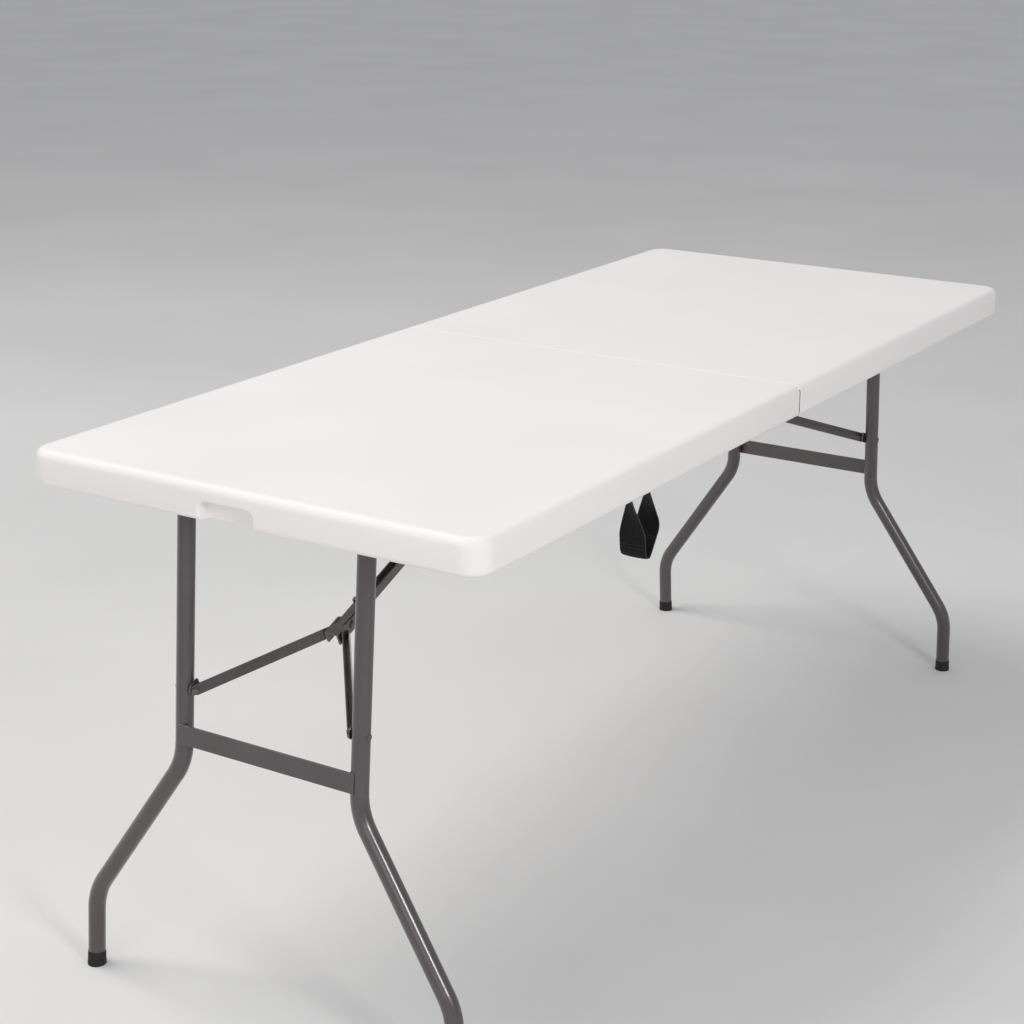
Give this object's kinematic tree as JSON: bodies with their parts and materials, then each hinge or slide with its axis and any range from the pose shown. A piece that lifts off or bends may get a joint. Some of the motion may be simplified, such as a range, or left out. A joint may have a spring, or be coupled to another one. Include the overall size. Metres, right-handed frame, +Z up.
{
  "type": "folding picnic table",
  "caption": "Rectangular picnic table that folds in half, with a white moulded top, splayed tubular leg sets, knee braces and a webbing carry strap.",
  "frame": {"origin": "on the floor, under the centre of the open table", "axes": "+X along the table's length towards the right half, +Y across it towards the back long side, +Z up"},
  "size_m": [1.7, 0.7, 0.74],
  "materials": {
    "top_plastic": "fine pebble texture, moulded in colour",
    "frame_steel": "glossy warm grey powder coat",
    "zinc_steel": "dull zinc plate",
    "foot_rubber": "matt black",
    "clip_plastic": "satin black",
    "strap_webbing": "woven polypropylene webbing"
  },
  "bodies": {
    "left_table_half": {"left_panel": "top_plastic", "left_front_rail": "frame_steel", "left_back_rail": "frame_steel", "left_frame_screws": "zinc_steel", "left_hinge_plates": "zinc_steel", "left_hinge_rivets": "zinc_steel", "left_brace_anchor": "frame_steel", "left_anchor_pin": "zinc_steel", "left_leg_clips": "clip_plastic", "hinge_pins": "zinc_steel", "carry_strap": "strap_webbing", "strap_plates": "zinc_steel", "strap_screws": "zinc_steel"},
    "right_table_half": {"right_panel": "top_plastic", "right_front_rail": "frame_steel", "right_back_rail": "frame_steel", "right_frame_screws": "zinc_steel", "right_hinge_plates": "zinc_steel", "right_hinge_rivets": "zinc_steel", "right_brace_anchor": "frame_steel", "right_anchor_pin": "zinc_steel", "right_leg_clips": "clip_plastic"},
    "left_leg_set": {"left_axle": "frame_steel", "left_axle_washers": "zinc_steel", "left_front_leg": "frame_steel", "left_back_leg": "frame_steel", "left_crossbar": "frame_steel", "left_front_foot": "foot_rubber", "left_back_foot": "foot_rubber", "left_leg_rivets": "frame_steel"},
    "left_brace_link": {"left_link": "frame_steel"},
    "left_knee_brace": {"left_front_arm": "frame_steel", "left_back_arm": "frame_steel", "left_knee_bracket": "frame_steel", "left_knee_pin": "zinc_steel", "left_arm_rivets": "zinc_steel"},
    "left_lock_ring": {"left_lock_ring": "zinc_steel"},
    "right_leg_set": {"right_axle": "frame_steel", "right_axle_washers": "zinc_steel", "right_front_leg": "frame_steel", "right_back_leg": "frame_steel", "right_crossbar": "frame_steel", "right_front_foot": "foot_rubber", "right_back_foot": "foot_rubber", "right_leg_rivets": "frame_steel"},
    "right_brace_link": {"right_link": "frame_steel"},
    "right_knee_brace": {"right_front_arm": "frame_steel", "right_back_arm": "frame_steel", "right_knee_bracket": "frame_steel", "right_knee_pin": "zinc_steel", "right_arm_rivets": "zinc_steel"},
    "right_lock_ring": {"right_lock_ring": "zinc_steel"}
  },
  "joints": [
    {"name": "centre_fold", "type": "hinge", "parent": "left_table_half", "child": "right_table_half", "pos_m": [0, 0, 0.692], "axis": [0, 1, 0], "range_deg": [0, 95]},
    {"name": "left_leg_fold", "type": "hinge", "parent": "left_table_half", "child": "left_leg_set", "pos_m": [-0.777, 0, 0.709], "axis": [0, -1, 0], "range_deg": [0, 94.3]},
    {"name": "left_link_swing", "type": "hinge", "parent": "left_table_half", "child": "left_brace_link", "pos_m": [-0.15, 0, 0.706], "axis": [0, 1, 0], "range_deg": [0, 23.1]},
    {"name": "left_knee_bend", "type": "hinge", "parent": "left_brace_link", "child": "left_knee_brace", "pos_m": [-0.63769, 0, 0.50356], "axis": [0, -1, 0], "range_deg": [0, 180]},
    {"name": "left_lock_ring_slide", "type": "slide", "parent": "left_brace_link", "child": "left_lock_ring", "axis": [0.9236, 0, 0.3834], "range_m": [0, 0.04]},
    {"name": "right_leg_fold", "type": "hinge", "parent": "right_table_half", "child": "right_leg_set", "pos_m": [0.777, 0, 0.709], "axis": [0, 1, 0], "range_deg": [0, 94.3]},
    {"name": "right_link_swing", "type": "hinge", "parent": "right_table_half", "child": "right_brace_link", "pos_m": [0.15, 0, 0.706], "axis": [0, -1, 0], "range_deg": [0, 23.1]},
    {"name": "right_knee_bend", "type": "hinge", "parent": "right_brace_link", "child": "right_knee_brace", "pos_m": [0.63769, 0, 0.50356], "axis": [0, 1, 0], "range_deg": [0, 180]},
    {"name": "right_lock_ring_slide", "type": "slide", "parent": "right_brace_link", "child": "right_lock_ring", "axis": [-0.9236, 0, 0.3834], "range_m": [0, 0.04]}
  ],
  "couplings": [
    {"joint": "left_link_swing", "follows": "left_leg_fold", "ratio": 0.24369},
    {"joint": "left_knee_bend", "follows": "left_leg_fold", "ratio": 1.9048},
    {"joint": "right_link_swing", "follows": "right_leg_fold", "ratio": 0.24369},
    {"joint": "right_knee_bend", "follows": "right_leg_fold", "ratio": 1.9048}
  ]
}
